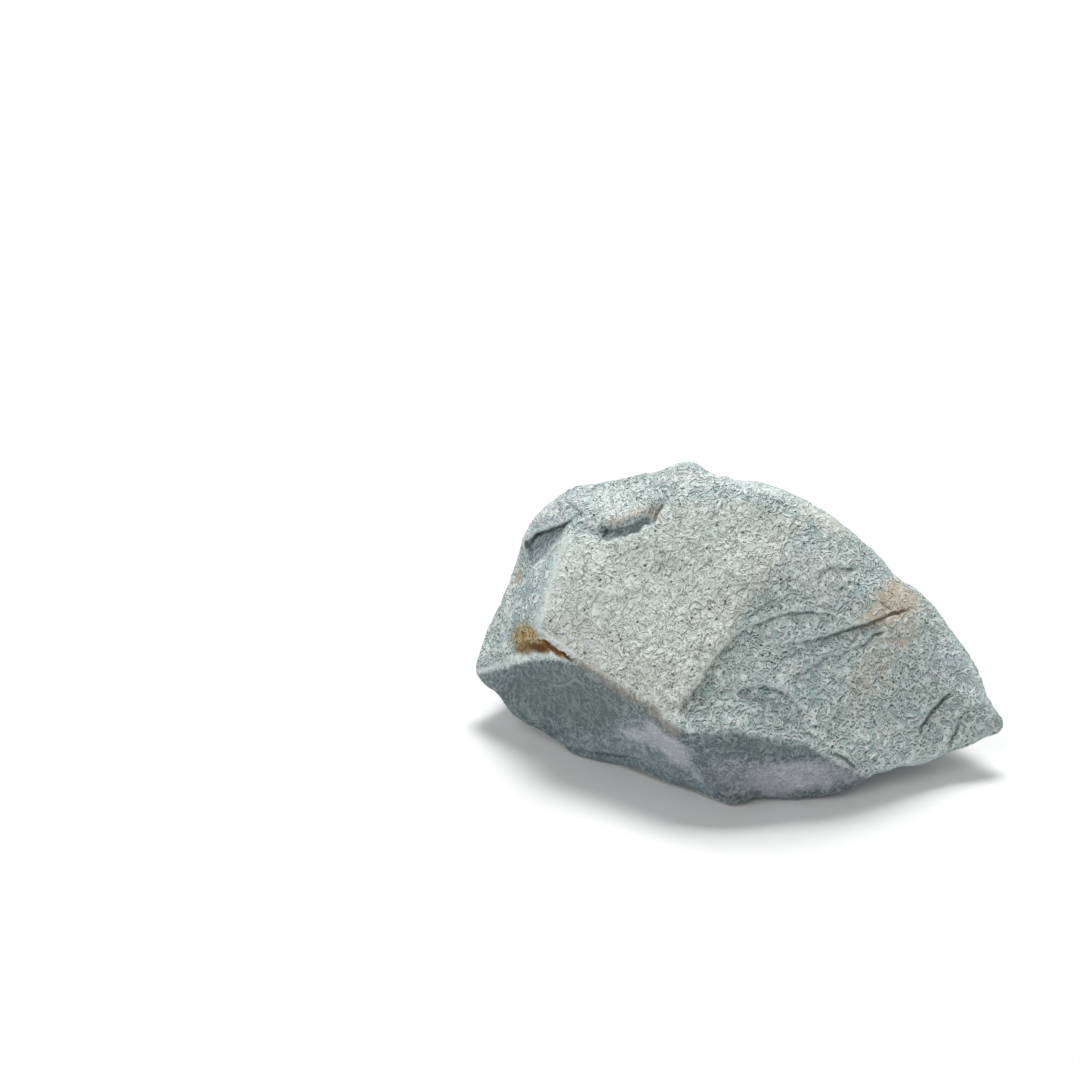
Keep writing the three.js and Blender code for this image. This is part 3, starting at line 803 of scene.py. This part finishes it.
def coloured(places, drawn, seen, wander):
    """How strong each stain is at the places; deep and light hold painted shade and light as well."""
    blotch = drawn + shaken(places, 4.5, 31, 1.6)
    closely = drawn + shaken(places, 1.6, 33, 0.5)
    stains_and_shading = {name: stained(blotch, patches) for name, patches in WIDE_STAINS_AND_SHADING.items()}
    stains_and_shading |= {name: stained(closely, patches) for name, patches in CLOSE_STAINS.items()}
    stains_and_shading["blue"] = np.maximum(stains_and_shading["blue"], 0.75 * inside(drawn, BLUE_FACE, 1.2))
    stains_and_shading["beige"] = lined(drawn + wander, FOOT_BAND)
    stains_and_shading = {name: strength * seen for name, strength in stains_and_shading.items()}
    for name, (length, seed, strength) in HIDDEN_STAINS.items():
        spread = smooth_step(0.15, 0.6, waves(places, length, seed))
        stains_and_shading[name] = stains_and_shading[name] + strength * spread * (1 - seen)
    return stains_and_shading


def shape_stone(settings):
    """The stone's skin, carved, with an attribute for each stain and for the painted shade and highlights."""
    skin = worn_skin(settings)
    edges = edge_ends(skin)
    places = np.array([vert.co for vert in skin.verts]) / MM
    normals = np.array([vert.normal for vert in skin.verts])
    drawn = FRONT_EYE.drawn(places)
    seen = FRONT_EYE.sees(places, normals)
    wander = shaken(places, 1.9, 11, 0.35)
    places = bent(places, drawn, seen, edges)
    places, dark, pale = carved(places, normals, drawn, seen, wander, settings.carving)

    slab = inside(drawn, SLAB, 0.9)
    under = turned_under(drawn) * seen
    bulge = np.sum((places - evened(places, edges, BULGE_PASSES)) * normals, axis=1)
    stains_and_shading = coloured(places, drawn, seen, wander)
    stains_and_shading["slab"] = slab * seen
    stains_and_shading["under"] = under
    # Bulges are painted paler, partly wear and partly painted highlight; hollows are painted darker as shade.
    stains_and_shading["pale"] = np.maximum(pale, (0.5 - 0.4 * under) * smooth_step(0.05, 0.22, bulge))
    stains_and_shading["dark"] = np.maximum(dark, 0.45 * smooth_step(0.04, 0.2, -bulge))

    rise = relief(places, 1.35 - 0.45 * slab - 0.75 * under) * settings.roughness
    rise = (rise - POCKET_DEPTH * stains_and_shading["honey"]) * smooth_step(SMOOTH_BELOW, ROUGH_ABOVE, places[:, 2])
    places = places + normals * rise[:, None]
    places[:, 2] = np.where(places[:, 2] < FLAT_BELOW, 0, places[:, 2])

    mesh = bpy.data.meshes.new("jade_stone")
    skin.to_mesh(mesh)
    skin.free()
    mesh.vertices.foreach_set("co", (places * MM).ravel())
    for name, values in stains_and_shading.items():
        mesh.attributes.new(name, "FLOAT", "POINT").data.foreach_set("value", np.clip(values, 0, 1))
    mesh.shade_smooth()
    mesh.update()
    return mesh


class Value:
    """A node's output. Arithmetic on it adds Math nodes."""

    def __init__(self, shading, socket):
        self.shading = shading
        self.socket = socket

    def maths(self, operation, *values):
        """A Math node on the values."""
        return self.shading.node("ShaderNodeMath", {"operation": operation}, dict(enumerate(values)))

    def __add__(self, other):
        return self.maths("ADD", self, other)

    def __sub__(self, other):
        return self.maths("SUBTRACT", self, other)

    def __rsub__(self, other):
        return self.maths("SUBTRACT", other, self)

    def __mul__(self, other):
        return self.maths("MULTIPLY", self, other)

    def __abs__(self):
        return self.maths("ABSOLUTE", self)

    __radd__ = __add__
    __rmul__ = __mul__

    def step(self, low, high):
        """0 below low and 1 above high, with an even curve between them; low may be the larger."""
        settings = {"interpolation_type": "SMOOTHSTEP"}
        return self.shading.node("ShaderNodeMapRange", settings, {0: self, 1: low, 2: high})


class Shading:
    """A new material, filled node by node."""

    def __init__(self, name):
        self.material = bpy.data.materials.new(name)
        self.material.use_nodes = True
        self.tree = self.material.node_tree
        self.tree.nodes.clear()

    def node(self, kind, settings=None, inputs=None, output=0):
        """A node of that kind, its settings made first, and then its inputs set or linked."""
        made = self.tree.nodes.new(kind)
        for name, setting in (settings or {}).items():
            setattr(made, name, setting)
        for name, value in (inputs or {}).items():
            if isinstance(value, Value):
                self.tree.links.new(value.socket, made.inputs[name])
            else:
                made.inputs[name].default_value = value
        return Value(self, made.outputs[output] if made.outputs else None)

    # Reads stains and the painted shade and light alike.
    def stain(self, name):
        """The mesh's attribute of that name."""
        return self.node("ShaderNodeAttribute", {"attribute_name": name}, output="Fac")

    def shifted(self, where, way):
        """The places moved that way."""
        return self.node("ShaderNodeVectorMath", {"operation": "ADD"}, {0: where, 1: way})

    def noise(self, where, size, detail, distortion=0.0):
        """Noise whose lumps are about that many millimetres across."""
        inputs = {"Vector": where, "Scale": 1 / size, "Detail": detail, "Distortion": distortion}
        return self.node("ShaderNodeTexNoise", None, inputs)

    def cells(self, where, size, output):
        """Cells about that many millimetres across: the distance to each one's middle, or its colour."""
        return self.node("ShaderNodeTexVoronoi", None, {"Vector": where, "Scale": 1 / size}, output)

    def mix(self, mask, below, above):
        """One colour over another, by the mask."""
        below, above = (side if isinstance(side, Value) else (*side, 1) for side in (below, above))
        return self.node("ShaderNodeMix", {"data_type": "RGBA"}, {0: mask, 6: below, 7: above}, output=2)

    def finish(self, **sockets):
        """The material, its shader's sockets set or linked."""
        shader = self.node("ShaderNodeBsdfPrincipled", None, sockets)
        self.node("ShaderNodeOutputMaterial", None, {"Surface": shader})
        return self.material


def jade_material(settings):
    """Clouded green stone with stain colours, flecks, and painted shade and highlights: dark and pale
    winding strokes, pores, cracks and hollows.
    """
    shading = Shading("jade")
    metres = shading.node("ShaderNodeTexCoord", None, None, "Object")
    where = shading.node("ShaderNodeVectorMath", {"operation": "SCALE"}, {"Vector": metres, "Scale": 1 / MM})
    moved = shading.shifted(where, OTHER_NOISE)

    clouds = shading.noise(where, 14, 3)
    mottle = shading.noise(where, 3.2, 3, 0.4)
    grain = shading.noise(where, 0.6, 3, 0.6)

    def curls(place, size, bend):
        """Thin winding lines, and 0 between them."""
        return abs(shading.noise(place, size, 1, bend) - 0.5).step(0.09, 0.01)

    def strokes(place, size, bend, kept):
        """Pale winding strokes painted as highlights, and the dark ones painted as their shade just below."""
        light = curls(place, size, bend) * kept
        dark = curls(shading.shifted(place, SHADE_WAY), size, bend) * kept * (1 - light)
        return light, dark

    def torn(name, edge=0.4):
        """An attribute's patches, stains and painted shade and light alike, with the edge broken up by the
        mottling.
        """
        return (shading.stain(name) + (mottle - 0.5) * edge).step(0.1, 0.95)

    highlight_curl, shade_curl = strokes(where, 2.3, 0.9, shading.noise(moved, 2.2, 0).step(0.25, 0.42))
    highlight_thread, shade_thread = strokes(moved, 1.35, 0.7, shading.noise(where, 1.7, 0).step(0.22, 0.4))
    picked = shading.node(
        "ShaderNodeSeparateColor", None, {"Color": shading.cells(moved, 2, "Color")}, "Red"
    )
    # Pores are painted dark as the shade in small pits.
    pore = shading.cells(moved, 2, "Distance").step(0.2, 0.1) * picked.step(0.5, 0.7)
    fleck = shading.cells(where, 3.1, "Distance").step(0.2, 0.06) * mottle.step(0.45, 0.6)

    slab, pale, beige = (shading.stain(name) for name in ("slab", "pale", "beige"))
    under = (shading.stain("under") + (mottle - 0.5) * 0.08).step(0.02, 0.98)
    light, deep, blush = torn("light"), torn("deep"), torn("blush", 0.25)
    honey = shading.mix(curls(moved, 2.4, 1.2) * 0.85, settings.honey, settings.amber)
    lively = (1 - under * 0.81) * (1 - pale * 0.7) * (1 - beige * 0.6)
    lively = lively * (1 - deep * 0.45) * (1 - blush * 0.45)
    darkly = lively * (1 - slab * 0.25) * (1 - light * 0.3)

    colour = shading.mix(clouds.step(0.35, 0.65), settings.green, settings.grey)
    for mask, tint in (
        (slab * 0.8, settings.slab),
        (torn("cream") * 0.75, settings.cream),
        # Light: the stone's paler tone, partly painted light on faces turned to the light.
        (light * 0.7, settings.pale),
        (blush * 0.85, settings.blush),
        # Under: the darker faces that turn under, partly painted shade.
        (under, settings.under),
        (torn("blue") * 0.7, settings.blue),
        (torn("lavender") * 0.75, settings.lavender),
        # Deep: the stone's darker tone, partly painted shade.
        (deep * 0.7, settings.deep),
        (beige * 0.8, settings.beige),
        (mottle.step(0.35, 0.75) * 0.16 * lively, settings.pale),
        (grain.step(0.52, 0.3) * 0.16 * lively, settings.deep),
        # The dark and pale strokes: painted shade and painted highlights of the fine relief.
        (shade_curl * 0.85 * darkly, settings.deep),
        (shade_thread * 0.7 * darkly, settings.deep),
        (highlight_curl * 0.9 * lively, settings.pale),
        (highlight_thread * 0.7 * lively, settings.pale),
        (fleck * 0.2 * lively, settings.pale),
        # Pale: worn edges and bulges, partly painted highlight.
        (pale * 0.5, settings.pale),
        (torn("honey", 0.12), honey),
        (torn("umber", 0.15), settings.umber),
        # Pores and the dark attribute: painted shade in pits, cracks, hollows and below steps.
        (pore * 0.8 * lively, settings.crevice_shade),
        (shading.stain("dark").step(0.08, 0.95) * 0.8, settings.crevice_shade),
    ):
        colour = shading.mix(mask, colour, tint)

    height = grain * 0.25 + highlight_curl * 0.7 - shade_curl * 0.5 + highlight_thread * 0.5 - shade_thread * 0.4
    height = (height + mottle * 0.6 - pore) * lively * settings.bump
    bump = shading.node("ShaderNodeBump", None, {"Strength": 1.0, "Distance": 0.3 * MM, "Height": height})
    roughness = 0.78 - under * 0.05 + grain * 0.12 - pale * 0.08
    return shading.finish(**{
        "Base Color": colour, "Roughness": roughness, "Normal": bump, "IOR": 1.5, "Specular IOR Level": 0.3,
    })


def stage_material(settings):
    """Plain pale paper."""
    shading = Shading("stage_paper")
    return shading.finish(**{"Base Color": (*settings.floor, 1), "Roughness": 0.9, "Specular IOR Level": 0.1})


def add_object(name, data):
    """A new object in the scene."""
    made = bpy.data.objects.new(name, data)
    bpy.context.collection.objects.link(made)
    return made


def colour_property(name, description, shown):
    """A colour setting whose default is given as a screen shows it."""
    return FloatVectorProperty(
        name=name, description=description, subtype="COLOR", min=0, max=1, default=screen_colour(*shown)
    )


class JadeStoneSettings(PropertyGroup):
    """Sizes, strengths and colours of the stone"""

    grain: FloatProperty(name="Grain", description="Size of the mesh's squares, in millimetres", default=0.9)
    passes: IntProperty(name="Wear", description="Smoothing passes over the solid's facets", default=9)
    carving: FloatProperty(name="Carving", description="Strength of ledges and cracks", default=1.0)
    roughness: FloatProperty(name="Roughness", description="Strength of the broken relief", default=1.0)
    bump: FloatProperty(name="Bump", description="Strength of the finest grain", default=1.0)
    green: colour_property("Green", "Main colour of the broken faces", (177, 199, 193))
    grey: colour_property("Grey", "Cooler colour in clouds over it", (180, 203, 206))
    # Slab: the raised face's paler colour, partly painted light for a face turned to the light.
    slab: colour_property("Slab", "The raised face", (222, 231, 221))
    cream: colour_property("Cream", "Warm stain on the raised face", (214, 211, 192))
    blush: colour_property("Blush", "Pinkish brown stain", (208, 184, 150))
    # Pale: the stone's flecks and worn edges, and painted highlights on edges, bulges and pale strokes.
    pale: colour_property("Pale", "Worn edges and flecks", (243, 252, 248))
    # Under: the darker colour of faces that turn under, partly painted shade.
    under: colour_property("Under", "Faces that turn under", (89, 102, 105))
    blue: colour_property("Blue", "Bluish stain", (118, 135, 146))
    lavender: colour_property("Lavender", "Lavender grey stain", (182, 185, 195))
    # Deep: the stone's darker tone, and the colour of painted shade in shaded patches and dark strokes.
    deep: colour_property("Deep", "Deep grey green", (92, 110, 108))
    honey: colour_property("Honey", "The stained pocket", (156, 134, 80))
    amber: colour_property("Amber", "Lights in the stained pocket", (222, 212, 170))
    beige: colour_property("Beige", "Smooth band at the raised face's foot", (152, 144, 134))
    umber: colour_property("Umber", "The pocket's dark wedge", (114, 76, 36))
    # Crevice shade: painted shade in cracks, pores, hollows and along the foot of steps.
    crevice_shade: colour_property("Crevice", "Cracks and pores", (52, 60, 60))


class JadeStageSettings(PropertyGroup):
    """The floor, the lens and the lights"""

    floor: colour_property("Floor", "Colour of the floor", (248, 248, 248))
    floor_size: FloatProperty(name="Floor size", description="Side of the floor", unit="LENGTH", default=8.0)
    lens: FloatProperty(name="Lens", description="Focal length", unit="CAMERA", default=135.05)
    sky: FloatProperty(name="Sky", description="Strength of the light from all round", default=0.275)
    key: FloatProperty(name="Key", description="Power of the light above", unit="POWER", default=39.0)
    fill: FloatProperty(name="Fill", description="Power of the light in front", unit="POWER", default=9.0)


class JADE_OT_stone(Operator):
    """Carves the stone over its solid and gives it its material"""

    bl_idname = "jade.stone"
    bl_label = "Jade Stone"

    def execute(self, context):
        settings = context.scene.jade_stone
        stone = add_object("jade_stone", shape_stone(settings))
        stone.data.materials.append(jade_material(settings))
        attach(stone, "root")
        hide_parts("stone")
        return {"FINISHED"}


class JADE_OT_stage(Operator):
    """Lays a pale floor, hangs the lights and sets up the camera"""

    bl_idname = "jade.stage"
    bl_label = "Stage"

    def execute(self, context):
        settings = context.scene.jade_stage
        sheet = bmesh.new()
        bmesh.ops.create_grid(sheet, x_segments=1, y_segments=1, size=settings.floor_size / 2)
        mesh = bpy.data.meshes.new("floor")
        sheet.to_mesh(mesh)
        sheet.free()
        floor = add_object("floor", mesh)
        mesh.materials.append(stage_material(settings))

        for name, (side, place) in LAMPS.items():
            light = bpy.data.lights.new(name, "AREA")
            light.energy = getattr(settings, name)
            light.size = side
            lamp = add_object(name, light)
            lamp.location = place
            lamp.rotation_euler = Vector(place).to_track_quat("Z", "Y").to_euler()

        world = bpy.data.worlds.new("studio")
        world.use_nodes = True
        sky = world.node_tree.nodes["Background"]
        sky.inputs["Color"].default_value = (1, 1, 1, 1)
        sky.inputs["Strength"].default_value = settings.sky
        context.scene.world = world
        context.scene.view_settings.view_transform = "Standard"

        lens = bpy.data.cameras.new("camera")
        lens.lens = settings.lens
        lens.sensor_width = SENSOR_WIDTH
        camera = add_object("camera", lens)
        camera.location = FRONT_EYE.place * MM
        camera.rotation_euler = Euler((math.radians(90 - FRONT_EYE.elevation), 0, 0))
        context.scene.camera = camera
        return {"FINISHED"}


class JADE_PT_panel(Panel):
    """The stone and its stage"""

    bl_label = "Jade Stone"
    bl_space_type = "VIEW_3D"
    bl_region_type = "UI"
    bl_category = "Jade"

    def draw(self, context):
        layout = self.layout
        for settings, operator in (
            (context.scene.jade_stone, JADE_OT_stone),
            (context.scene.jade_stage, JADE_OT_stage),
        ):
            box = layout.box()
            for name in settings.__annotations__:
                box.prop(settings, name)
            box.operator(operator.bl_idname)


CLASSES = (JadeStoneSettings, JadeStageSettings, JADE_OT_stone, JADE_OT_stage, JADE_PT_panel)


def register():
    for cls in CLASSES:
        bpy.utils.register_class(cls)
    bpy.types.Scene.jade_stone = PointerProperty(type=JadeStoneSettings)
    bpy.types.Scene.jade_stage = PointerProperty(type=JadeStageSettings)


def unregister():
    del bpy.types.Scene.jade_stage
    del bpy.types.Scene.jade_stone
    for cls in reversed(CLASSES):
        bpy.utils.unregister_class(cls)


def main():
    """Makes the stone and its stage."""
    register()
    bpy.ops.jade.stone()
    bpy.ops.jade.stage()


if __name__ == "__main__":
    main()
